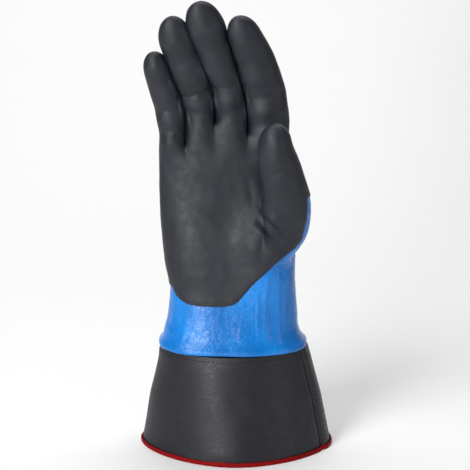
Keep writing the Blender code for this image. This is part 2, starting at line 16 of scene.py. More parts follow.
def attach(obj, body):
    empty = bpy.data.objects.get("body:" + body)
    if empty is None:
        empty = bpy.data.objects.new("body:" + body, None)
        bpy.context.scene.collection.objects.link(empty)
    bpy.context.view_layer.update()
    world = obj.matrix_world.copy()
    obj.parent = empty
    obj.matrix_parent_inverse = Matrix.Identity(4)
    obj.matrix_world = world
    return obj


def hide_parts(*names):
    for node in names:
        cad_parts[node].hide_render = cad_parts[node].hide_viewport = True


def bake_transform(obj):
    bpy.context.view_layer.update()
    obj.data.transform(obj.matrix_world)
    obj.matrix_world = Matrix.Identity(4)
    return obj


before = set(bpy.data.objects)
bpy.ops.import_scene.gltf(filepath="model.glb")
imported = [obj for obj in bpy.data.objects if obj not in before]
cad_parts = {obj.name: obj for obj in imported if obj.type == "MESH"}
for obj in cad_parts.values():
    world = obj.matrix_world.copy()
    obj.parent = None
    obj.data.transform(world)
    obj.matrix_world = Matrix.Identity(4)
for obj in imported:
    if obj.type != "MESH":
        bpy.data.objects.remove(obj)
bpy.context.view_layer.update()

MM = 0.001
CENTRE_SHIFT = np.array([-0.6, 1.0, 0.0])  # the row frame's origin, as the CAD has it
LEVELS = 3                  # subdivision steps of the hand's cage
LINER_LEVELS = 2

# ---- the hand's dimensions, mm and deg
LOOP = 12                   # points round a digit
FRONT = 13                  # points across the palm side of the hand, and across its back
AXIS_UNDER_PALM = 6.0       # finger hinge axes run this far inside the palm-side surface

# Stations of a finger: base hinge, middle of the first phalanx, middle hinge, middle of the second,
# end hinge and pad, then the tip.
FINGERS = {
    "pinky": dict(base=(-42.3, -1.5, 229.5), middle=(-44.5, -4.0, 247.0), end=(-50.2, -10.0, 265.5),
                  pad=(-52.7, -14.0, 275.3), tip=(-54.0, -17.5, 285.0),
                  half_widths=(9.8, 10.3, 10.5, 10.1, 9.5, 8.5), depths=(9.3, 7.6)),
    "ring": dict(base=(-23.8, -1.5, 242.0), middle=(-26.4, -5.0, 258.5), end=(-34.8, -13.0, 281.5),
                 pad=(-39.2, -18.0, 293.8), tip=(-41.8, -24.0, 308.8),
                 half_widths=(10.8, 11.1, 11.6, 12.0, 11.9, 11.5), depths=(10.0, 8.4)),
    "middle": dict(base=(-2.3, -1.5, 242.0), middle=(-5.7, -6.0, 263.5), end=(-15.5, -14.8, 291.0),
                   pad=(-19.6, -19.5, 303.0), tip=(-25.0, -26.0, 318.2),
                   half_widths=(11.3, 11.1, 11.0, 11.3, 12.2, 12.7), depths=(10.3, 8.8)),
    "index": dict(base=(23.2, -1.5, 235.5), middle=(20.5, -5.0, 257.0), end=(12.8, -12.4, 282.2),
                  pad=(7.1, -17.5, 294.8), tip=(1.0, -24.0, 308.4),
                  half_widths=(14.3, 14.2, 14.0, 13.6, 12.7, 11.3), depths=(10.7, 8.9)),
}
THUMB = dict(root=(35.2, -22.0, 161.0), root_lean=(0.15, -0.80, 0.58), base=(35.2, -28.3, 178.0),
             middle=(33.4, -34.0, 195.5), end=(29.5, -39.0, 213.0), pad=(26.7, -42.0, 226.0),
             tip=(27.0, -45.0, 241.2), half_widths=(13.6, 17.2, 15.4, 13.9, 11.8),
             half_depths=(11.0, 12.3, 12.0, 11.5, 10.5))

CREASE_DEPTHS = {"pinky": 0.35, "ring": 1.0, "middle": 0.6, "index": 0.4}  # across the middle joints
FINGER_EDGES = (-52.0, -33.6, -13.9, 8.4, 37.2)
WEB_HEIGHTS = (222.6, 235.9, 228.9)
WEB_DROP = (4.5, 9.0)       # how far a web drops to the palm and to the back
KNUCKLE_FRONT_HEIGHTS = (220.0, 222.5, 222.5, None, 229.0, 231.0, None, 231.5, 229.0, None, 226.5,
                         226.0, 224.0)
KNUCKLE_BACK_DROP = 4.0
KNUCKLE_FRONT_Y = -12.6
KNUCKLE_BACK_Y = 10.4
KNUCKLE_SIDES_Y = (-3.2, 2.4)       # the two points of each edge, palm side first
KNUCKLE_SIDE_DROP = 1.5
KNUCKLE_INSET = 1.9         # how far the outer columns stand in from the edges
WEB_SADDLE = ((-4.2, 0.0), (2.6, 1.5))      # y of a web's two points and how far each drops
BASE_LEAN = (0, 2, 12)      # turns a finger's first section towards the palm's own direction
TIP_RINGS = ((0.63, 0.79), (0.97, 0.42))    # share of the way from pad to tip, share of the width
EDGE_SHARE = 0.2            # the edges' two points lie at this share of the depth

# Rows up the hand: height, little-finger edge, thumb edge, palm depth, back depth.
BEAD_PROFILE = ((76.6, -2.4), (75.5, -1.2), (75.0, 0.8), (75.8, 2.1), (77.6, 2.3), (79.8, 1.6))
BEAD_SECTION = (-52.2, 49.4, 30.0, 29.0)   # little-finger edge, thumb edge, palm and back depth
WRIST_ROWS = ((82.6, -51.8, 48.4, 29.4, 28.4), (89.0, -50.2, 45.6, 27.2, 26.4),
              (100.0, -47.6, 44.4, 24.6, 24.0))
PALM_ROWS = ((118.0, -46.2, 43.0, 21.5, 21.0), (129.0, -47.8, 42.5, 20.5, 20.5),
             (140.0, -49.4, 42.8, 19.5, 19.5), (151.0, -50.4, 43.6, 19.0, 19.0),
             (162.0, -51.2, 47.0, 18.5, 18.5), (173.0, -51.8, 49.2, 17.0, 18.0),
             (190.0, -52.1, 44.0, 15.0, 16.5), (206.0, -52.0, 40.5, 14.0, 14.5))
THUMB_COLUMN = 9            # the thumb grows from three columns and three rows that start here
THUMB_ROW = 2
SECTION_POWER = 2.5         # 2 is an ellipse, more is boxier
CORNER = 0.93               # where the palm side turns into the edge, as a share of the half width

# Raised and hollow areas of the palm side: centre x and z, reach in x and z, height.
PALM_RELIEF = (
    (26.0, 140.0, 20.0, 30.0, 5.0),     # ball of the thumb
    (-30.0, 140.0, 20.0, 36.0, 2.6),    # heel below the little finger
    (-4.0, 182.0, 24.0, 26.0, -2.2),    # hollow of the palm
    (31.0, 190.0, 18.0, 16.0, -2.4),    # hollow behind the thumb
    (14.0, 157.0, 13.0, 16.0, 3.6),     # where the thumb's root runs out into the palm
)

# Lower edge of the black coat on the palm side: x, and height sheared by DIP_SHEAR times the depth
# y, which is how the glove leaned in the bath.
DIP_SHEAR = 0.268
BLACK_FRONT = ((-50.0, 122.0), (-47.0, 119.5), (-44.5, 117.2), (-41.1, 111.0), (-37.2, 107.4),
               (-31.2, 104.8), (-24.4, 103.6), (-10.7, 103.1), (-3.0, 104.2), (1.2, 106.2), (6.4, 112.0),
               (12.4, 119.2), (19.2, 125.6), (26.9, 132.9), (35.5, 140.4), (42.3, 146.6), (46.0, 152.0),
               (47.9, 159.0), (49.0, 168.0), (49.6, 178.0), (50.0, 188.0), (51.5, 196.0))
# The same edge round the sides and the back: angle round the hand (-90 is the little finger's edge,
# 180 the back), height.
BLACK_BACK = ((-180, 204), (-150, 198), (-125, 172), (-108, 136), (-95, 121), (-80, 118), (0, 118),
              (40, 189), (110, 194), (145, 202), (180, 204))
# The thumb's outline seen from the palm side: height, depth y.  What lies deeper is behind the thumb.
THUMB_WALL = ((142, -8), (148, -12), (154, -19), (158, -25), (163, -31), (177, -35), (190, -38.5))
THUMB_SIDE = (24.0, 34.0)   # x between which the thumb's outline takes over
HAND_AXIS_X = -2.0          # angles round the hand and the wrist are taken about this line
BLACK_THICKNESS = 0.75      # how far the black coat stands above the blue one
BLACK_LIP = 1.3             # width over which its edge rounds off
BLUE_OVERLAP = 4.0          # how far the blue coat runs on under the black one
BLUE_CLEARANCE = 0.1        # how far it stays clear of it there
COAT_WALL = 1.0
LINER_DEPTH = 2.2
LINER_WALL = 0.8
CURVED_EDGE = 0.68          # the knuckle ring's depth at its two edges and at the webs
CURVED_WEB = 0.86
UNEVENNESS = ((0.45, 22.0, 1), (0.16, 7.0, 2))     # height, size and seed of the skin's noise
CRINKLES = ((0.12, 5.5, 3), (0.14, 2.6, 4))        # the same for the blue coat's sharp wrinkles
CRINKLE_MEAN = 0.13
BLUE_FADE = (-6.0, 0.0)     # the blue coat's folds fade out between these margins to the black edge
BEAD_FADE = (80.0, 86.0)    # and between these heights above the bead

# ---- the cuff's dimensions, mm and deg
CUFF_TOP = dict(z=78.2, half_length=46.2, half_depth=25.6, power=2.0, centre=-2.1, tilt=0.0)
CUFF_NECK = dict(CUFF_TOP, z=75.3, half_length=47.4, half_depth=27.0)
CUFF_SHOULDER = dict(z=74.7, half_length=52.0, half_depth=31.4, power=1.95, centre=-1.4, tilt=0.5)
CUFF_WAIST = dict(z=38.0, half_length=60.9, half_depth=39.4, power=1.86, centre=-0.4, tilt=2.0)
CUFF_HEM = dict(z=0.9, half_length=67.7, half_depth=47.2, power=1.78, centre=0.3, tilt=3.5)
# The seam: angle round the cuff (0 is the thumb edge, 90 the palm side) and how far the fabric
# stands out.  The seam allowance, folded to the back, is the raised strip beside the groove.
SEAM_PROFILE = ((-18.0, 0.0), (-16.5, 0.4), (-14.5, 1.25), (-8.0, 1.35), (4.0, 1.3), (13.0, 1.45),
                (18.0, 1.7), (20.6, 1.25), (21.9, 0.1), (22.6, -0.75), (23.3, -0.55), (24.6, 0.05),
                (27.5, 0.35), (33.0, 0.15), (40.0, 0.0))
CUFF_POINTS = 240           # points round the cuff away from the seam
SEAM_POINTS = 90            # points across the seam's profile
CUFF_LEVELS = 66            # outlines between the hem and the shoulder; the inside has every fourth
SHELL_WALL = 1.2
LINING_WALL = 0.6
GAP = 0.32
BINDING_WALL = 0.8
BINDING_HEIGHT = 3.3
TAPE_WAVE = (0.35, 9.0, 5)  # height, size and seed of the tape edge's unevenness
SHOULDER_TUCK = (0.5, 0.3)  # how far the shoulder's rim goes in and up
DENTS = ((0.55, 3, 0.7, 0.012), (0.35, 5, -1.1, 0.03))  # height, waves round, start, turn with height
DENT_NOISE = (0.5, 26.0, 9)             # height, size and seed
DENT_RADIUS = 60.0
LINING_DROP = 1.4           # how far the lining ends below the cuff's top
ATTACHMENT_HEIGHT = 71.4    # the row of stitches that holds the cuff to the wrist
HEM_STITCH_HEIGHT = 2.45
SEAM_STITCH_ANGLE = 15.5
SEAM_STITCH_RUN = (5.0, 72.0)
THREAD_RADIUS = 0.17
STITCH_LENGTH = 2.5
STITCH_GAP = 0.9
THREAD_SIDES = 6
THREAD_RINGS = 5

# ---- camera and light
CAMERA_TARGET = (-0.6, 1.0, 155.0)
CAMERA_DISTANCE = 1000.0
CAMERA_ELEVATION = 15.0
CAMERA_LENS = 109.4
SENSOR_WIDTH = 36.0


# ---- small helpers
def add_object(name, data):
    made = bpy.data.objects.new(name, data)
    bpy.context.scene.collection.objects.link(made)
    return made


def unit(vector):
    vector = np.asarray(vector, float)
    return vector / np.linalg.norm(vector)


def mix(a, b, share):
    return np.asarray(a, float) * (1 - share) + np.asarray(b, float) * share


def smooth_step(value, low, high):
    t = np.clip((np.asarray(value, float) - low) / (high - low), 0, 1)
    return t * t * (3 - 2 * t)


def smooth_curve(value, stops):
    """A smooth curve through (place, height) stops that never swings past its stops."""
    places, heights = np.transpose(np.asarray(stops, float))
    slopes = np.diff(heights) / np.diff(places)
    product = np.maximum(slopes[:-1] * slopes[1:], 0)
    inner = np.where(product > 0, 2 * product / np.where(product > 0, slopes[:-1] + slopes[1:], 1), 0)
    tangents = np.concatenate([[slopes[0]], inner, [slopes[-1]]])
    i = np.clip(np.searchsorted(places, value) - 1, 0, len(slopes) - 1)
    span = (places[1:] - places[:-1])[i]
    t = np.clip((value - places[i]) / span, 0, 1)
    rise = t * t * (3 - 2 * t)
    return (heights[i] * (1 - rise) + heights[i + 1] * rise
            + span * t * (1 - t) * ((1 - t) * tangents[i] - t * tangents[i + 1]))


def bell(value, width):
    return np.exp(-(np.asarray(value, float) / width) ** 2)


def section_frame(tangent):
    """Sideways and palm-side directions of a cross-section that faces along the tangent."""
    side = unit(np.cross((0, 1, 0), tangent))
    return side, unit(np.cross(side, tangent))


def relief(x, z):
    """How far the palm side stands out at a place, from its raised and hollow areas."""
    total = 0.0
    for cx, cz, rx, rz, height in PALM_RELIEF:
        total += height * math.exp(-((x - cx) / rx) ** 2 - ((z - cz) / rz) ** 2)
    return total


# ---- the hand's cage
class Cage:
    """Points and quads of the hand, each quad with the name of its region."""

    def __init__(self):
        self.points, self.quads, self.regions, self.loops = [], [], [], {}

    def add(self, point):
        self.points.append(np.asarray(point, float))
        return len(self.points) - 1

    def quad(self, region, *corners):
        self.quads.append(corners)
        self.regions.append(region)

    def band(self, region, lower, upper, skip=()):
        count = len(lower)
        for i in range(count):
            if i not in skip:
                j = (i + 1) % count
                self.quad(region, lower[i], lower[j], upper[j], upper[i])


def hand_row(row, upper_share=0.0):
    """One ring round the hand.  upper_share moves its columns towards the finger edges."""
    z, low_x, high_x, palm_depth, back_depth = row
    centre, half = (low_x + high_x) / 2, (high_x - low_x) / 2
    edges = np.interp(range(FRONT), range(0, FRONT, 3), FINGER_EDGES)
    toward = (edges - edges[0]) / (edges[-1] - edges[0]) * 2 - 1
    even = np.linspace(-1, 1, FRONT)
    shares = CORNER * (even * (1 - upper_share) + toward * upper_share)
    ring = []
    for share in shares:
        x = centre + half * share
        depth = palm_depth * (1 - abs(share) ** SECTION_POWER) ** (1 / SECTION_POWER)
        ring.append((x, -depth - relief(x, z), z))
    palm_y, back_y = -EDGE_SHARE * palm_depth, EDGE_SHARE * back_depth
    ring += [(high_x, palm_y, z), (high_x, back_y, z)]
    for share in shares[::-1]:
        depth = back_depth * (1 - abs(share) ** SECTION_POWER) ** (1 / SECTION_POWER)
        ring.append((centre + half * share, depth, z))
    return ring + [(low_x, back_y, z), (low_x, palm_y, z)]


def knuckle_ring(cage):
    """The ring that the four fingers grow from, and the saddle points of the three webs."""
    xs = np.interp(range(FRONT), range(0, FRONT, 3), FINGER_EDGES)
    xs[0] += KNUCKLE_INSET
    xs[-1] -= KNUCKLE_INSET
    front_z = list(KNUCKLE_FRONT_HEIGHTS)
    back_z = [None if z is None else z - KNUCKLE_BACK_DROP for z in front_z]
    for web, height in enumerate(WEB_HEIGHTS):
        front_z[3 * web + 3] = height - WEB_DROP[0]
        back_z[3 * web + 3] = height - WEB_DROP[1]
    front, back = [], []
    for column, x in enumerate(xs):
        bow = CURVED_EDGE if column in (0, FRONT - 1) else (CURVED_WEB if column in (3, 6, 9) else 1.0)
        front.append(cage.add((x, KNUCKLE_FRONT_Y * bow - relief(x, front_z[column]), front_z[column])))
        back.append(cage.add((x, KNUCKLE_BACK_Y * bow, back_z[column])))
    right = [cage.add((FINGER_EDGES[-1], y, front_z[-1] - KNUCKLE_SIDE_DROP)) for y in KNUCKLE_SIDES_Y]
    left = [cage.add((FINGER_EDGES[0], y, front_z[0] - KNUCKLE_SIDE_DROP)) for y in KNUCKLE_SIDES_Y[::-1]]
    webs = []
    for web, height in enumerate(WEB_HEIGHTS):
        x = FINGER_EDGES[web + 1]
        webs.append([cage.add((x, y, height - drop)) for y, drop in WEB_SADDLE])
    return front, right, back, left, webs


def section_loop(cage, centre, tangent, half_width, half_depth, shrink=1.0):
    """Twelve points round a digit, from the palm side's little-finger corner anticlockwise."""
    side, palm = section_frame(unit(tangent))
    loop = []
    for i in range(LOOP):
        angle = math.radians(360 * i / LOOP - 45)
        place = side * half_width * math.sin(angle) + palm * half_depth * math.cos(angle)
        loop.append(cage.add(np.asarray(centre) + place * shrink))
    return loop


def close_tip(cage, region, loop, pad, tip, half_width, half_depth):
    """Rounds a digit off from its pad to its tip, with a three by three patch at the end."""
    tangent = unit(np.subtract(tip, pad))
    near, inner = (section_loop(cage, mix(pad, tip, share), tangent, half_width, half_depth, shrink)
                   for share, shrink in TIP_RINGS)
    cage.band(region, loop, near)
    a, b, c, d = inner[0], inner[3], inner[6], inner[9]
    for quad in ((near[0], near[1], a, near[11]), (near[1], near[2], b, a),
                 (near[2], near[3], near[4], b), (b, near[4], near[5], c),
                 (c, near[5], near[6], near[7]), (d, c, near[7], near[8]),
                 (near[10], d, near[8], near[9]), (near[11], a, d, near[10]), (a, b, c, d)):
        cage.quad(region, *quad)


def places_of(spec, *keys):
    return [np.asarray(spec[key], float) for key in keys]


def finger_stations(spec):
    """Centres and directions of a finger's six sections."""
    base, middle, end, pad, tip = places_of(spec, "base", "middle", "end", "pad", "tip")
    centres = [base, (base + middle) / 2, middle, (middle + end) / 2, end, pad]
    directions = [middle - base + BASE_LEAN, middle - base, end - base, end - middle, pad - middle,
                  tip - end]
    return centres, [unit(d) for d in directions]


def grow_finger(cage, name, spec, root_loop):
    centres, directions = finger_stations(spec)
    depths = np.linspace(spec["depths"][0], spec["depths"][1], len(centres))
    labels = ("base", "base", "middle", "middle", "tip", "tip")
    lower = root_loop
    cage.loops[f"{name}_base"] = root_loop
    for i, centre in enumerate(centres):
        loop = section_loop(cage, centre, directions[i], spec["half_widths"][i], depths[i])
        cage.band(f"{name}_{labels[i]}", lower, loop)
        if i in (1, 3):
            cage.loops[f"{name}_{labels[i + 1]}"] = loop
        lower = loop
    close_tip(cage, f"{name}_tip", lower, spec["pad"], spec["tip"], spec["half_widths"][-1], depths[-1])


def grow_thumb(cage, root_loop):
    root, base, middle, end, pad, tip = places_of(THUMB, "root", "base", "middle", "end", "pad", "tip")
    widths, depths = THUMB["half_widths"], THUMB["half_depths"]
    stations = (("palm", root, THUMB["root_lean"]), ("thumb_base", base, middle - base),
                ("thumb_base", middle, end - base), ("thumb_tip", end, pad - middle),
                ("thumb_tip", pad, tip - end))
    lower = root_loop
    for i, (region, centre, direction) in enumerate(stations):
        loop = section_loop(cage, centre, direction, widths[i], depths[i])
        cage.band(region, lower, loop)
        if i == 0:
            cage.loops["thumb_base"] = loop
        if i == 2:
            cage.loops["thumb_tip"] = loop
        lower = loop
    close_tip(cage, "thumb_tip", lower, pad, tip, widths[-1], depths[-1])


def build_cage():
    """The whole hand, from the bead at the wrist to the fingertips."""
    cage = Cage()
    low_x, high_x, palm_depth, back_depth = BEAD_SECTION
    rows = []
    for z, proud in BEAD_PROFILE:
        bead_row = (z, low_x - proud, high_x + proud, palm_depth + proud, back_depth + proud)
        rows.append(hand_row(bead_row))
    rows += [hand_row(row) for row in WRIST_ROWS]
    wrist = [[cage.add(p) for p in row] for row in rows]
    count = len(PALM_ROWS)
    palm = [[cage.add(p) for p in hand_row(row, (i + 1) / count)] for i, row in enumerate(PALM_ROWS)]
    for lower, upper in zip(wrist, wrist[1:] + palm[:1]):
        cage.band("palm", lower, upper)
    thumb_faces = range(THUMB_COLUMN, THUMB_COLUMN + 3)
    for i in range(count - 1):
        in_thumb = THUMB_ROW <= i < THUMB_ROW + 3
        cage.band("palm", palm[i], palm[i + 1], skip=thumb_faces if in_thumb else ())
    front, right, back, left, webs = knuckle_ring(cage)
    cage.band("palm", palm[-1], front + right + back[::-1] + left)
    edges = [left[::-1]] + webs + [right]
    for i, (name, spec) in enumerate(FINGERS.items()):
        loop = front[3 * i:3 * i + 4] + edges[i + 1] + back[3 * i:3 * i + 4][::-1] + edges[i][::-1]
        grow_finger(cage, name, spec, loop)
    c, r = THUMB_COLUMN, THUMB_ROW
    root_loop = [palm[r][c + k] for k in range(4)] + [palm[r + 1][c + 3], palm[r + 2][c + 3]]
    root_loop += [palm[r + 3][c + 3 - k] for k in range(4)] + [palm[r + 2][c], palm[r + 1][c]]
    grow_thumb(cage, root_loop)
    return cage


# ---- subdivision
def subdivided(points, quads, labels, levels):
    """Catmull-Clark points, quads and quad labels of a cage; the cage's points come first."""
    mesh = bpy.data.meshes.new("cage")
    mesh.from_pydata([tuple(p) for p in points], [], quads)
    mesh.attributes.new("label", "INT", "FACE").data.foreach_set("value", labels)
    holder = add_object("cage", mesh)
    modifier = holder.modifiers.new("smooth", "SUBSURF")
    modifier.levels = modifier.render_levels = levels
    modifier.use_limit_surface = True
    evaluated = holder.evaluated_get(bpy.context.evaluated_depsgraph_get())
    smooth = evaluated.to_mesh()
    new_points = np.zeros(len(smooth.vertices) * 3)
    smooth.vertices.foreach_get("co", new_points)
    corners = np.zeros(len(smooth.loops), int)
    smooth.loops.foreach_get("vertex_index", corners)
    new_labels = np.zeros(len(smooth.polygons), int)
    smooth.attributes["label"].data.foreach_get("value", new_labels)
    evaluated.to_mesh_clear()
    bpy.data.objects.remove(holder, do_unlink=True)
    bpy.data.meshes.remove(mesh)
    return new_points.reshape(-1, 3), corners.reshape(-1, 4), new_labels


def fitted(points, quads, labels, rounds=4):
    """Cage points moved so that the smooth surface passes through the given points."""
    target = np.array(points)
    moved = target.copy()
    for _ in range(rounds):
        smooth = subdivided(moved, quads, labels, 1)[0]
        moved += target - smooth[:len(target)]
    return moved


def quad_normals(points, quads):
    """Point normals of a quad mesh, averaged by area."""
    a, b, c, d = points[quads].transpose(1, 0, 2)
    diagonals = np.cross(c - a, d - b)
    normals = np.zeros_like(points)
    for corner in range(4):
        np.add.at(normals, quads[:, corner], diagonals)
    return normals / np.maximum(np.linalg.norm(normals, axis=1), 1e-12)[:, None]


# ---- the black coat's edge
def black_margin(points, normals):
    """How far above the black coat's lower edge each point lies; negative where blue shows."""
    x, y, z = points.T
    height = z + DIP_SHEAR * y
    edge = smooth_curve(x, BLACK_FRONT)
    slope = smooth_curve(x + 0.5, BLACK_FRONT) - smooth_curve(x - 0.5, BLACK_FRONT)
    front = (height - edge) / np.sqrt(1 + slope ** 2)
    angle = np.degrees(np.arctan2(x - HAND_AXIS_X, -y))
    behind = z - smooth_curve(angle, BLACK_BACK)
    facing = smooth_step(-normals[:, 1], -0.10, 0.12)
    before_wall = smooth_step(smooth_curve(z, THUMB_WALL) - y, -2.0, 1.0)
    return mix(behind, front, mix(facing, before_wall * facing, smooth_step(x, *THUMB_SIDE)))


# ---- folds and creases
def finger_creases(points, normals):
    """Soft creases across the palm side of the joints, and the pads that swell between them."""
    lift = np.zeros(len(points))
    for name, spec in FINGERS.items():
        centres, directions = finger_stations(spec)
        # station, height and width: two creases, then three pads
        bands = ((2, -CREASE_DEPTHS[name], 1.5), (4, -0.3, 2.0),
                 (1, 1.0, 6.0), (3, 0.5, 5.5), (5, 0.5, 5.5))
        for station, height, width in bands:
            lift += crease(points, normals, centres[station], directions[station], height, width,
                           spec["half_widths"][station])
    end, pad = places_of(THUMB, "end", "pad")
    lift += crease(points, normals, end, unit(pad - end), -0.5, 2.0, 13.0)
    return lift


def crease(points, normals, centre, tangent, height, width, half_width):
    """A band across the palm side of a digit at a section, raised or sunk by the height."""
    side, palm = section_frame(tangent)
    offset = points - centre
    across = offset @ side
    waver = 0.5 * np.sin(across * 0.55 + centre[0])
    along = offset @ tangent + waver
    near = (np.abs(across) < half_width + 2) & (np.abs(offset @ palm) < 16)
    return height * bell(along, width) * smooth_step(normals @ palm, 0.15, 0.8) * near


FOLDS = (
    # ridges and creases of the palm side: x and z of both ends, half width, height
    ((19.5, 181.0), (30.5, 169.5), 2.2, 2.3),
    ((18.0, 176.5), (28.5, 163.5), 1.4, -1.2),
    ((18.0, 174.0), (27.5, 159.5), 2.2, 2.3),
    ((15.8, 169.5), (25.0, 156.5), 1.5, -1.0),
    ((12.5, 166.0), (27.0, 155.5), 2.8, 1.9),
    ((-48.0, 214.0), (-12.0, 208.0), 2.6, -0.45),
    ((-10.0, 207.0), (24.0, 214.0), 2.6, -0.45),
    ((-30.0, 196.0), (16.0, 188.0), 3.4, -0.35),
    ((6.0, 205.0), (12.0, 168.0), 3.0, -0.4),
)


FOLD_BOW = 0.06             # how far a fold bows, as a share of its length


def palm_folds(points, normals):
    """Folds at the root of the thumb and the faint lines of the palm."""
    lift = np.zeros(len(points))
    flat = points[:, [0, 2]]
    facing = smooth_step(-normals[:, 1], 0.05, 0.5)
    for start, end, width, height in FOLDS:
        start, end = np.array(start), np.array(end)
        line = end - start
        share = np.clip((flat - start) @ line / (line @ line), 0, 1)
        bow = FOLD_BOW * np.linalg.norm(line) * np.sin(math.pi * share)
        normal = np.array([-line[1], line[0]]) / np.linalg.norm(line)
        distance = np.linalg.norm(flat - (start + share[:, None] * line + bow[:, None] * normal), axis=1)
        taper = np.sin(math.pi * (0.1 + 0.8 * share))
        lift += height * bell(distance, width) * taper * facing
    return lift


WRIST_FOLDS = (
    # angle round the wrist, lean, half width in degrees, height, and the heights it runs between
    (36, 0.10, 2.2, 0.55, 84, 126), (44, 0.12, 2.0, 0.75, 82, 140), (50, 0.10, 1.7, -0.5, 86, 132),
    (57, 0.06, 2.4, 0.8, 84, 146), (66, 0.04, 2.0, 0.5, 96, 150), (-72, -0.05, 2.2, 0.6, 92, 122),
    (-58, -0.08, 2.6, 0.4, 84, 106), (-79, -0.02, 1.8, -0.4, 84, 116), (12, 0.05, 3.4, 0.3, 82, 104),
    (112, 0.05, 3.0, 0.7, 84, 130), (150, -0.05, 3.4, 0.6, 84, 140), (-160, 0.06, 3.2, 0.6, 84, 132),
    (-118, -0.06, 3.0, 0.6, 84, 126), (175, 0.04, 2.4, -0.4, 90, 150),
)
WRIST_FOLD_HEIGHT = 0.6     # both scale the table above
WRIST_FOLD_WIDTH = 0.85
UPRIGHT_HEIGHT = 100.0      # where a leaning fold is at its own angle


def wrist_folds(points):
    """Soft vertical folds of the blue coat between the bead and the thumb root."""
    x, y, z = points.T
    angle = np.degrees(np.arctan2(x - HAND_AXIS_X, -y))
    lift = np.zeros(len(points))
    for centre, lean, width, height, low, high in WRIST_FOLDS:
        along = smooth_step(z, low - 4, low + 8) * (1 - smooth_step(z, high - 14, high + 6))
        offset = angle - centre - lean * (z - UPRIGHT_HEIGHT)
        lift += WRIST_FOLD_HEIGHT * height * bell(offset, WRIST_FOLD_WIDTH * width) * along
    return lift


BACK_FOLD_HEIGHT = 0.45
JOINT_SPREADS = ((0, 5.0), (2, 3.4), (4, 2.6))      # a joint's station, how far its folds spread


def back_folds(points, normals):
    """Loose folds over the joints on the back of the fingers."""
    lift = np.zeros(len(points))
    for spec in FINGERS.values():
        centres, directions = finger_stations(spec)
        for station, spread in JOINT_SPREADS:
            side, palm = section_frame(directions[station])
            offset = points - centres[station]
            near = np.abs(offset @ side) < spec["half_widths"][station] + 2
            along = offset @ directions[station]
            back = smooth_step(-(normals @ palm), 0.2, 0.8) * near * bell(along, spread * 1.6)
            lift += BACK_FOLD_HEIGHT * np.cos(along / spread * 3.4) * back
    return lift


def noise_field(points, scale, seed):
    """Smooth noise at every point, about -1 to 1, with features of the given size in mm."""
    offset = Vector((seed * 7.3, seed * 3.1, seed * 5.7))
    return np.array([noise.noise(Vector(p) / scale + offset) for p in points])


def crinkle(points, scale, seed):
    """Sharp little ridges that reach 1, as in a thin coat that has wrinkled."""
    return 1 - np.abs(noise_field(points, scale, seed)) * 2


def shape_hand(points, quads):
    """The smooth hand with its folds: returns points, normals and the margin of the black coat."""
    normals = quad_normals(points, quads)
    margin = black_margin(points, normals)
    blue = 1 - smooth_step(margin, *BLUE_FADE)
    above_bead = smooth_step(points[:, 2], *BEAD_FADE)
    lift = finger_creases(points, normals) + palm_folds(points, normals) + back_folds(points, normals)
    lift += wrist_folds(points) * blue * above_bead
    lift += sum(height * noise_field(points, size, seed) for height, size, seed in UNEVENNESS)
    wrinkles = sum(height * crinkle(points, size, seed) for height, size, seed in CRINKLES)
    lift += blue * above_bead * (wrinkles - CRINKLE_MEAN)
    moved = points + normals * lift[:, None]
    return moved, quad_normals(moved, quads), margin


# ---- meshes
def link(name, points, faces, material, normals=None):
    """A mesh object from points in the glove's frame, smooth, with given point normals."""
    mesh = bpy.data.meshes.new(name)
    places = ((np.asarray(points, float) + CENTRE_SHIFT) * MM).tolist()
    mesh.from_pydata(places, [], [tuple(map(int, face)) for face in faces])
    mesh.shade_smooth()
    mesh.materials.append(material)
    if normals is not None:
        mesh.normals_split_custom_set_from_vertices([tuple(n) for n in normals])
    return add_object(name, mesh)


def shell(name, points, normals, faces, wall, material):
    """A closed thin wall whose outer face is given; its borders meet its neighbours' exactly."""
    used = np.unique(np.concatenate([np.asarray(f) for f in faces]))
    number = {int(index): i for i, index in enumerate(used)}
    count = len(used)
    outer, outward = points[used], normals[used]
    made, border = [], {}
    for face in faces:
        corners = [number[int(i)] for i in face]
        made.append(corners)
        made.append([i + count for i in corners[::-1]])
        for a, b in zip(corners, corners[1:] + corners[:1]):
            if (b, a) in border:
                del border[(b, a)]
            else:
                border[(a, b)] = True
    made += [[b, a, a + count, b + count] for a, b in border]
    return link(name, np.concatenate([outer, outer - outward * wall]), made, material,
                np.concatenate([outward, -outward]))


def cut_above(points, normals, faces, margin):
    """The part of the faces where the margin is positive, cut cleanly along its zero line."""
    points, normals = list(points), list(normals)
    kept, cuts = [], {}

    def cut(a, b):
        key = (min(a, b), max(a, b))
        if key not in cuts:
            share = margin[key[0]] / (margin[key[0]] - margin[key[1]])
            cuts[key] = len(points)
            points.append(mix(points[key[0]], points[key[1]], share))
            normals.append(unit(mix(normals[key[0]], normals[key[1]], share)))
        return cuts[key]

    for face in faces:
        face = [int(i) for i in face]
        if all(margin[i] > 0 for i in face):
            kept.append(face)
            continue
        if all(margin[i] <= 0 for i in face):
            continue
        for triangle in (face[:3], [face[0], face[2], face[3]]):
            outline = []
            for i, a in enumerate(triangle):
                b = triangle[(i + 1) % 3]
                if margin[a] > 0:
                    outline.append(a)
                if (margin[a] > 0) != (margin[b] > 0):
                    outline.append(cut(a, b))
            if len(outline) > 2:
                kept.append(outline)
    return np.array(points), np.array(normals), kept


# ---- materials
WAVES_PER_TURN = 20         # bands of the wave texture in 2 pi of its scaled length
USUAL_NOISE = (0.3, 0.7)    # the range that most of a noise texture's values lie in


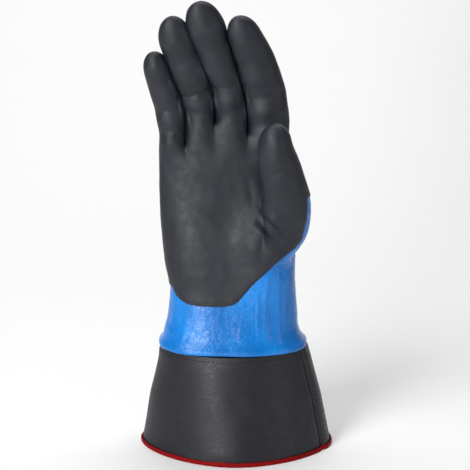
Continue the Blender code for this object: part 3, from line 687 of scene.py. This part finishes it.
class Finish:
    """A procedural material, with short calls for the nodes it is made of."""

    def __init__(self, name, roughness, **sockets):
        self.material = bpy.data.materials.new(name)
        self.material.use_nodes = True
        self.tree = self.material.node_tree
        self.shader = self.tree.nodes["Principled BSDF"]
        self.shader.inputs["Roughness"].default_value = roughness
        for socket, value in sockets.items():
            title = socket.replace("_", " ").title().replace("Ior", "IOR")
            self.shader.inputs[title].default_value = value
        self.coordinates = self.node("ShaderNodeTexCoord").outputs["Object"]
        self.height = None

    def feed(self, target, value):
        if isinstance(value, bpy.types.NodeSocket):
            self.tree.links.new(value, target)
        else:
            target.default_value = value

    def node(self, kind, **inputs):
        made = self.tree.nodes.new(kind)
        for socket, value in inputs.items():
            self.feed(made.inputs[socket], value)
        return made

    def noise(self, size, detail=2.0, roughness=0.5, stretch=None, distortion=0.0):
        """Noise with features of a size in mm, stretched along the axes if asked."""
        made = self.node("ShaderNodeTexNoise", Scale=1 / (size * MM), Detail=detail, Roughness=roughness,
                         Distortion=distortion, Vector=self.stretched(stretch))
        return made.outputs["Fac"]

    def cells(self, size, stretch):
        made = self.node("ShaderNodeTexVoronoi", Scale=1 / (size * MM), Vector=self.stretched(stretch))
        return made.outputs["Distance"]

    def stretched(self, stretch):
        if stretch is None:
            return self.coordinates
        return self.node("ShaderNodeMapping", Vector=self.coordinates, Scale=stretch).outputs["Vector"]

    def ribs(self, spacing, direction="Z", distortion=0.0):
        """Parallel ridges with a spacing in mm."""
        made = self.node("ShaderNodeTexWave", Scale=1 / (spacing * MM) * 2 * math.pi / WAVES_PER_TURN,
                         Distortion=distortion, Detail=1.0, Vector=self.coordinates)
        made.bands_direction = direction
        return made.outputs["Fac"]

    def combine(self, operation, a, b):
        made = self.tree.nodes.new("ShaderNodeMath")
        made.operation = operation
        for target, value in zip(made.inputs, (a, b)):
            self.feed(target, value)
        return made.outputs["Value"]

    def weighted(self, first, share, second):
        """A mix of two values in which the first has the given share."""
        return self.combine("ADD", self.combine("MULTIPLY", first, share),
                            self.combine("MULTIPLY", second, round(1 - share, 6)))

    def colours(self, factor, *stops):
        """The base colour, from a ramp of (place, colour) stops."""
        ramp = self.node("ShaderNodeValToRGB", Fac=factor)
        elements = ramp.color_ramp.elements
        while len(elements) < len(stops):
            elements.new(0.5)
        for element, (place, colour) in zip(elements, stops):
            element.position = place
            element.color = (*colour, 1)
        self.tree.links.new(ramp.outputs["Color"], self.shader.inputs["Base Color"])

    def rough(self, factor, low, high):
        """The roughness, between two values as the factor goes over its usual range."""
        made = self.node("ShaderNodeMapRange", Value=factor)
        from_low, from_high = USUAL_NOISE
        limits = {"From Min": from_low, "From Max": from_high, "To Min": low, "To Max": high}
        for socket, number in limits.items():
            made.inputs[socket].default_value = number
        self.tree.links.new(made.outputs["Result"], self.shader.inputs["Roughness"])

    def bump(self, height, depth, strength=1.0):
        """Adds a height map whose full range is a depth in mm."""
        made = self.node("ShaderNodeBump", Height=height, Distance=depth * MM, Strength=strength)
        if self.height is not None:
            self.tree.links.new(self.height, made.inputs["Normal"])
        self.height = made.outputs["Normal"]
        self.tree.links.new(self.height, self.shader.inputs["Normal"])


def black_foam():
    made = Finish("black foam nitrile", 0.55, specular_ior_level=0.42)
    made.colours(made.weighted(made.noise(14.0, 3.0), 0.7, made.noise(0.9, 2.0)),
                 (0.3, (0.0046, 0.0060, 0.0100)), (0.52, (0.0074, 0.0094, 0.0152)),
                 (0.72, (0.0118, 0.0146, 0.0225)))
    made.rough(made.noise(5.0, 3.0), 0.47, 0.60)
    made.bump(made.noise(0.55, 2.0), 0.05, 0.7)
    made.bump(made.noise(2.6, 2.0), 0.10, 0.6)
    made.bump(made.noise(1.5, 2.0, stretch=(0.25, 0.25, 1.3)), 0.12, 0.7)
    return made.material


def blue_coat():
    made = Finish("blue nitrile", 0.26, specular_ior_level=0.36, coat_weight=0.10, coat_roughness=0.2)
    mottle = made.noise(18.0, 4.0, stretch=(1.0, 1.0, 0.5))
    made.colours(mottle, (0.3, (0.001, 0.112, 0.39)), (0.5, (0.002, 0.150, 0.49)),
                 (0.7, (0.003, 0.195, 0.60)))
    made.rough(made.noise(4.0, 3.0), 0.19, 0.31)
    made.bump(made.noise(1.7, 3.0, 0.6, stretch=(0.8, 0.8, 1.2), distortion=0.6), 0.42, 0.8)
    return made.material


def cuff_canvas():
    made = Finish("rubberised canvas", 0.45, specular_ior_level=0.4)
    ribs = made.ribs(1.35, distortion=0.4)
    made.colours(made.weighted(made.noise(9.0, 4.0), 0.8, ribs),
                 (0.3, (0.0045, 0.0043, 0.0075)), (0.55, (0.0066, 0.0063, 0.0108)),
                 (0.8, (0.0100, 0.0096, 0.0160)))
    made.rough(made.noise(3.0, 3.0, stretch=(1.0, 1.0, 2.0)), 0.42, 0.54)
    made.bump(ribs, 0.05, 0.5)
    made.bump(made.noise(0.7, 2.0, stretch=(0.6, 0.6, 1.6)), 0.05, 0.6)
    return made.material


def woven(name, low, mid, high, thread, roughness):
    """A plain weave: two sets of fine ribs that cross."""
    made = Finish(name, roughness, specular_ior_level=0.08)
    weave = made.combine("MULTIPLY", made.ribs(thread, "Z"), made.ribs(thread, "DIAGONAL"))
    made.colours(made.weighted(made.noise(3.0, 3.0), 0.6, weave), (0.25, low), (0.5, mid), (0.8, high))
    made.rough(made.noise(2.0), roughness - 0.08, roughness + 0.08)
    made.bump(weave, 0.12, 0.8)
    made.bump(made.noise(0.35), 0.05, 0.6)
    return made.material


def knit():
    """Fine knitted loops that run up the hand."""
    made = Finish("knitted liner", 0.9, sheen_weight=0.35, sheen_roughness=0.5)
    loops = made.cells(1.3, (1.0, 1.0, 0.65))
    made.colours(made.weighted(made.noise(4.0, 3.0), 0.5, loops),
                 (0.2, (0.60, 0.58, 0.53)), (0.5, (0.52, 0.50, 0.45)), (0.8, (0.33, 0.32, 0.29)))
    made.rough(made.noise(2.0), 0.84, 0.95)
    made.bump(loops, 0.5, 0.8)
    made.bump(made.noise(0.4), 0.08, 0.6)
    return made.material


def thread(name, low, high):
    made = Finish(name, 0.7, specular_ior_level=0.15)
    made.colours(made.noise(0.6, 2.0), (0.35, low), (0.65, high))
    made.rough(made.noise(0.8), 0.65, 0.78)
    made.bump(made.ribs(0.35, "DIAGONAL"), 0.06, 0.8)
    return made.material


def digit_hinges():
    """Each joint's name with its parent body, a point on its axis and its direction."""
    hinges = {}
    for name, spec in FINGERS.items():
        centres, directions = finger_stations(spec)
        depths = np.linspace(spec["depths"][0], spec["depths"][1], len(centres))
        parent = "hand"
        for station, label in ((0, "base"), (2, "middle"), (4, "tip")):
            palm = section_frame(directions[station])[1]
            point = centres[station] + palm * (depths[station] - AXIS_UNDER_PALM)
            hinges[f"{name}_{label}"] = (parent, point, directions[station])
            parent = f"{name}_{label}"
    base, middle, end, pad = places_of(THUMB, "base", "middle", "end", "pad")
    hinges["thumb_base"] = ("hand", base, unit(middle - base))
    hinges["thumb_tip"] = ("thumb_base", end, unit(pad - middle))
    return hinges


class Skin:
    """The hand's surface at one fineness: quads with their regions, points, normals, black margin."""

    def __init__(self, names, fit, quads, labels, levels):
        self.names = names
        smooth, self.quads, self.labels = subdivided(fit, quads, labels, levels)
        self.points, self.normals, self.margin = shape_hand(smooth, self.quads)

    def faces(self, region):
        return self.quads[self.labels == self.names.index(region)]


def coat_surfaces(skin):
    """Outer points and normals of the black coat, whose edge is rounded, and of the blue one."""
    lip = np.clip(skin.margin / BLACK_LIP, 0, 1)
    step = BLACK_THICKNESS * (1 - np.sqrt(1 - (1 - lip) ** 2))
    black = skin.points - skin.normals * step[:, None]
    depth = BLACK_THICKNESS + BLUE_CLEARANCE * (skin.margin > 0)
    blue = skin.points - skin.normals * depth[:, None]
    return (black, quad_normals(black, skin.quads)), (blue, skin.normals)


def coat(name, skin, surfaces, materials):
    """The black and blue shells of one region."""
    black, blue = surfaces
    faces, margin = skin.faces(name), skin.margin
    blue_shows = (margin[faces] <= 0).any()
    made = []
    if (margin[faces] > 0).any():
        wall, covered = COAT_WALL, faces
        if blue_shows:
            *black, covered = cut_above(*black, faces, margin)
            wall = COAT_WALL / 2
        made.append(shell(f"{name}_black", *black, covered, wall, materials["black_foam"]))
    if blue_shows:
        under = faces[(margin[faces] < BLUE_OVERLAP).any(axis=1)]
        made.append(shell(f"{name}_blue", *blue, under, COAT_WALL, materials["blue_coat"]))
    return made


def build_coats(skin, hinges, materials):
    surfaces = coat_surfaces(skin)
    for made in coat("palm", skin, surfaces, materials):
        if made.name.endswith("_black"):
            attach(made, "hand")
            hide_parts("palm_coat_black")
        else:
            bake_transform(made)
            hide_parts("palm_coat_blue", "wrist_coat_blue")
    for name, (parent, _, _) in hinges.items():
        for made in coat(name, skin, surfaces, materials):
            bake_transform(made)
            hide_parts(f"{name}_coat")


def build_liners(skin, materials):
    """The knit inside the hand and the wrist, a coarser skin set in from the coats."""
    keep = skin.points[:, 2] > WRIST_ROWS[0][0] - 0.5
    inner = skin.points - skin.normals * LINER_DEPTH
    for region in skin.names:
        faces = skin.faces(region)
        faces = faces[keep[faces].all(axis=1)]
        made = shell(f"{region}_liner_knit", inner, skin.normals, faces, LINER_WALL, materials["knit"])
        if region == "palm":
            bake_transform(made)
            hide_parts("palm_liner", "wrist_liner")
        else:
            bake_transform(made)
            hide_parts(f"{region}_liner")


def build_hand(materials):
    cage = build_cage()
    names = sorted(set(cage.regions))
    labels = [names.index(region) for region in cage.regions]
    fit = fitted(cage.points, cage.quads, labels)
    hinges = digit_hinges()
    build_coats(Skin(names, fit, cage.quads, labels, LEVELS), hinges, materials)
    build_liners(Skin(names, fit, cage.quads, labels, LINER_LEVELS), materials)


# ---- the cuff
def cuff_section(z):
    """The cuff's section at a height, read between its given sections."""
    sections = (CUFF_HEM, CUFF_WAIST, CUFF_SHOULDER, CUFF_NECK, CUFF_TOP)
    heights = [s["z"] for s in sections]
    return {key: float(np.interp(z, heights, [s[key] for s in sections])) for key in CUFF_HEM}


def cuff_angles():
    """Angles of the points round the cuff, closer together at the seam."""
    first, last = SEAM_PROFILE[0][0], SEAM_PROFILE[-1][0]
    seam = np.linspace(first, last, SEAM_POINTS)
    rest = np.linspace(last, first + 360, CUFF_POINTS + 2)[1:-1]
    return np.concatenate([seam, rest])


def cuff_outline(z, outward, seam, at=None):
    """Points round the cuff, clockwise from above, moved outwards from the wall's outer face.

    They have the section of height z, with the seam's profile if asked, and lie at height at, or z."""
    section = cuff_section(z)
    shape = 2 / section["power"]
    angles = cuff_angles()
    c, s = np.cos(np.radians(angles)), np.sin(np.radians(angles))
    x = section["centre"] + section["half_length"] * np.sign(c) * np.abs(c) ** shape
    y = -section["half_depth"] * np.sign(s) * np.abs(s) ** shape
    y += section["tilt"] * np.maximum(0, -c) ** 2
    points = np.column_stack([x, y, np.full(len(x), z if at is None else at)])
    along = np.roll(points, -1, axis=0) - np.roll(points, 1, axis=0)
    normals = np.column_stack([-along[:, 1], along[:, 0], np.zeros(len(points))])
    normals /= np.linalg.norm(normals, axis=1)[:, None]
    raised = np.interp(angles, *np.transpose(SEAM_PROFILE)) * (1.0 if seam else 0.0)
    return points + normals * (outward + raised)[:, None]


def at_angle(outline, angle):
    return outline[int(np.argmin(np.abs(cuff_angles() - angle)))]


def ring_mesh(name, outlines, material, sharp_angle=40):
    """A closed ring: outlines with equal counts, each joined to the next and the last to the first."""
    count = len(outlines[0])
    faces = []
    for row in range(len(outlines)):
        this, following = row * count, (row + 1) % len(outlines) * count
        for i in range(count):
            j = (i + 1) % count
            faces.append((this + i, following + i, following + j, this + j))
    made = link(name, np.concatenate(outlines), faces, material)
    made.data.set_sharp_from_angle(angle=math.radians(sharp_angle))
    return made


def dented(outline):
    """The soft unevenness of the cuff's fabric, moved across the wall."""
    z = outline[0, 2]
    middle = outline.mean(axis=0)
    offset = outline - middle
    angle = np.arctan2(offset[:, 1], offset[:, 0])
    calm = smooth_step(z, 1.0, 9.0) * (1 - smooth_step(z, 64.0, 72.0))
    wave = sum(height * np.sin(angle * count + start + z * turn) for height, count, start, turn in DENTS)
    around = np.column_stack([np.cos(angle) * DENT_RADIUS, np.sin(angle) * DENT_RADIUS,
                              np.full(len(angle), z)])
    height, size, seed = DENT_NOISE
    wave = wave + height * noise_field(around, size, seed)
    edge = 1 - smooth_step(offset[:, 0], 40.0, 52.0)
    direction = offset / np.linalg.norm(offset[:, :2], axis=1)[:, None] * (1, 1, 0)
    return outline + direction * (wave * calm * edge)[:, None]


def stitches(name, route, material):
    """Single stitches along a route: short threads that dip into the fabric at both ends."""
    route = np.asarray(route)
    steps = np.linalg.norm(np.diff(route, axis=0), axis=1)
    distance = np.concatenate([[0], np.cumsum(steps)])
    pitch = STITCH_LENGTH + STITCH_GAP
    middle = route.mean(axis=0)
    points, faces = [], []
    for index in range(int((distance[-1] + STITCH_GAP) / pitch)):
        stations = index * pitch + STITCH_LENGTH * np.linspace(0, 1, THREAD_RINGS)
        places = np.column_stack([np.interp(stations, distance, route[:, axis]) for axis in range(3)])
        tangent = unit(places[-1] - places[0])
        outward = places[THREAD_RINGS // 2] - middle
        outward[2] = 0
        outward = unit(outward - tangent * (outward @ tangent))
        add_stitch(points, faces, places, outward, np.cross(tangent, outward))
    return link(name, np.array(points), faces, material)


def add_stitch(points, faces, places, outward, across):
    """One stitch: rings of points about its places, thinner and lower towards both ends."""
    first = len(points)
    for share, place in zip(np.linspace(0, 1, THREAD_RINGS), places):
        swell = math.sin(math.pi * share)
        rise = (swell - 0.75) * THREAD_RADIUS
        thick = THREAD_RADIUS * (0.72 + 0.28 * swell)
        for turn in 2 * math.pi * np.arange(THREAD_SIDES) / THREAD_SIDES:
            points.append(place + outward * (rise + thick * math.cos(turn))
                          + across * thick * math.sin(turn))
    for ring in range(first, first + (THREAD_RINGS - 1) * THREAD_SIDES, THREAD_SIDES):
        for s in range(THREAD_SIDES):
            a, b = ring + s, ring + (s + 1) % THREAD_SIDES
            faces.append((a, b, b + THREAD_SIDES, a + THREAD_SIDES))
    faces.append(tuple(range(first, first + THREAD_SIDES))[::-1])
    faces.append(tuple(range(len(points) - THREAD_SIDES, len(points))))


def build_cuff(materials):
    fabric_low = BINDING_WALL + GAP
    levels = list(np.linspace(fabric_low, CUFF_SHOULDER["z"], CUFF_LEVELS))
    neck = [CUFF_NECK["z"], CUFF_TOP["z"]]
    tuck, rise = SHOULDER_TUCK
    shoulder = cuff_outline(CUFF_SHOULDER["z"], -tuck, True, at=CUFF_SHOULDER["z"] + rise)
    outer = [dented(cuff_outline(z, 0.0, True)) for z in levels] + [shoulder]
    outer += [cuff_outline(z, 0.0, False) for z in neck]
    inner = [dented(cuff_outline(z, -SHELL_WALL, False)) for z in (levels[::4] + neck)[::-1]]
    made = ring_mesh("cuff_fabric", outer + inner, materials["cuff_canvas"])
    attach(made, "gauntlet")
    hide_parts("cuff_shell")

    near, far = -SHELL_WALL - GAP, -SHELL_WALL - GAP - LINING_WALL
    lining_levels = levels[::4] + [neck[0], CUFF_TOP["z"] - LINING_DROP]
    lining = [dented(cuff_outline(z, near, False)) for z in lining_levels]
    lining += [dented(cuff_outline(z, far, False)) for z in lining_levels[::-1]]
    made = ring_mesh("cuff_lining_cloth", lining, materials["cuff_lining"])
    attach(made, "gauntlet")
    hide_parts("cuff_lining")

    build_binding(materials, far)
    build_cuff_threads(materials)


def build_binding(materials, inner_face):
    """The tape folded over the hem, with rounded folds and a slightly uneven upper edge."""
    wall, tall = BINDING_WALL, BINDING_HEIGHT
    low = BINDING_WALL + GAP
    outside, inside = GAP + wall, inner_face - GAP - wall
    # how far outwards and how high each outline lies: up the outside, then up the inside
    profile = [(outside - 0.35, 0.08), (outside - 0.08, 0.4), (outside, 0.95), (outside + 0.05, 1.7),
               (outside, 2.5), (outside - 0.12, tall - 0.28), (outside - 0.4, tall), (GAP, tall - 0.25),
               (GAP, wall)]
    inner_profile = [(inner_face - GAP, wall), (inner_face - GAP, tall - 0.25), (inside + 0.3, tall),
                     (inside + 0.05, tall - 0.4), (inside, 2.0), (inside, 1.0), (inside + 0.3, 0.15)]
    outlines = []
    for outward, height in profile:
        outlines.append(wavy(cuff_outline(low + (height - low) * 0.35, outward, True, at=height)))
    for outward, height in inner_profile:
        outlines.append(cuff_outline(low, outward, False, at=height))
    outlines.append(cuff_outline(low, inside + 0.9, False, at=0.0))
    outlines.append(cuff_outline(low, outside - 0.9, True, at=0.0))
    made = ring_mesh("hem_tape", outlines, materials["red_tape"], 75)
    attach(made, "gauntlet")
    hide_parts("hem_binding")


def wavy(outline):
    """Lets the tape's upper part rise and sink a little along the hem."""
    z = outline[0, 2]
    share = smooth_step(z, 1.5, BINDING_HEIGHT)
    height, size, seed = TAPE_WAVE
    wave = noise_field(outline * (1, 1, 0), size, seed) * height * share
    moved = outline.copy()
    moved[:, 2] += wave
    return moved


def build_cuff_threads(materials):
    away_from_seam = slice(SEAM_POINTS, None)
    top = dented(cuff_outline(ATTACHMENT_HEIGHT, 0.03, True))
    hem = cuff_outline(1.9, GAP + BINDING_WALL + 0.12, True, at=HEM_STITCH_HEIGHT)
    heights = np.linspace(*SEAM_STITCH_RUN, 60)
    seam = [at_angle(cuff_outline(z, 0.15, True), SEAM_STITCH_ANGLE) for z in heights]
    rows = (("attachment_thread", "attachment_stitching", top[away_from_seam], "black_thread"),
            ("tape_thread", "binding_stitching", hem[away_from_seam], "red_thread"),
            ("seam_thread", "seam_stitching", seam, "black_thread"))
    for name, node, places, finish in rows:
        made = stitches(name, places, materials[finish])
        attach(made, "gauntlet")
        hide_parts(node)


# ---- scene
def plain(name, colour, roughness):
    made = bpy.data.materials.new(name)
    made.use_nodes = True
    shader = made.node_tree.nodes["Principled BSDF"]
    shader.inputs["Base Color"].default_value = (*colour, 1)
    shader.inputs["Roughness"].default_value = roughness
    return made


def build_stage():
    """A pale floor that curves up into a pale backdrop."""
    half_width, front, back, rise, radius = 3.0, -3.0, 1.2, 3.0, 0.8
    profile = [(front, 0.0), (back - radius, 0.0)]
    for i in range(1, 13):
        angle = math.pi / 2 * i / 12
        profile.append((back - radius + radius * math.sin(angle), radius * (1 - math.cos(angle))))
    profile.append((back, rise))
    points = [(x, y, z) for y, z in profile for x in (-half_width, half_width)]
    faces = [(2 * i, 2 * i + 1, 2 * i + 3, 2 * i + 2) for i in range(len(profile) - 1)]
    mesh = bpy.data.meshes.new("floor")
    mesh.from_pydata(points, [], faces)
    mesh.shade_smooth()
    mesh.materials.append(plain("pale floor", (0.76, 0.76, 0.76), 0.8))
    floor = add_object("floor", mesh)


def add_area(name, place, target, size, power):
    light = bpy.data.lights.new(name, "AREA")
    light.shape = "RECTANGLE"
    light.size, light.size_y = size
    light.energy = power
    holder = add_object(name, light)
    holder.location = place
    holder.rotation_euler = (Vector(target) - Vector(place)).to_track_quat("-Z", "Y").to_euler()


def build_lights():
    world = bpy.data.worlds.new("world")
    world.use_nodes = True
    world.node_tree.nodes["Background"].inputs["Color"].default_value = (1, 1, 1, 1)
    world.node_tree.nodes["Background"].inputs["Strength"].default_value = 0.12
    bpy.context.scene.world = world
    target = (0, 0, 0.15)
    add_area("key", (-0.72, -0.80, 1.10), target, (0.5, 0.7), 13)
    add_area("front strip", (-0.50, -1.08, 0.30), target, (0.35, 0.4), 8.5)
    add_area("fill", (1.1, -0.9, 0.4), target, (0.4, 0.8), 2.5)
    add_area("top", (0.1, 0.35, 1.2), target, (0.9, 0.5), 3)
    add_area("backdrop light", (0.0, 0.25, 1.9), (0, 1.25, 0.4), (2.0, 0.5), 19)


def build_camera():
    elevation = math.radians(CAMERA_ELEVATION)
    target = Vector(CAMERA_TARGET) * MM
    back = Vector((0, -math.cos(elevation), math.sin(elevation)))
    camera = bpy.data.cameras.new("camera")
    camera.lens = CAMERA_LENS
    camera.sensor_width = SENSOR_WIDTH
    holder = add_object("camera", camera)
    holder.location = target + back * CAMERA_DISTANCE * MM
    holder.rotation_euler = (-back).to_track_quat("-Z", "Y").to_euler()
    bpy.context.scene.camera = holder


def main():
    bpy.context.scene.view_settings.view_transform = "Standard"
    materials = {
        "black_foam": black_foam(), "blue_coat": blue_coat(), "cuff_canvas": cuff_canvas(), "knit": knit(),
        "cuff_lining": woven("cuff lining", (0.06, 0.06, 0.065), (0.09, 0.09, 0.10), (0.14, 0.14, 0.15),
                             thread=0.9, roughness=0.85),
        "red_tape": woven("red tape", (0.17, 0.0012, 0.002), (0.23, 0.002, 0.003), (0.28, 0.003, 0.005),
                          thread=0.8, roughness=0.6),
        "black_thread": thread("black thread", (0.007, 0.007, 0.010), (0.012, 0.012, 0.016)),
        "red_thread": thread("red thread", (0.15, 0.0012, 0.002), (0.22, 0.002, 0.003)),
    }
    build_camera()
    build_stage()
    build_lights()
    build_hand(materials)
    build_cuff(materials)


main()
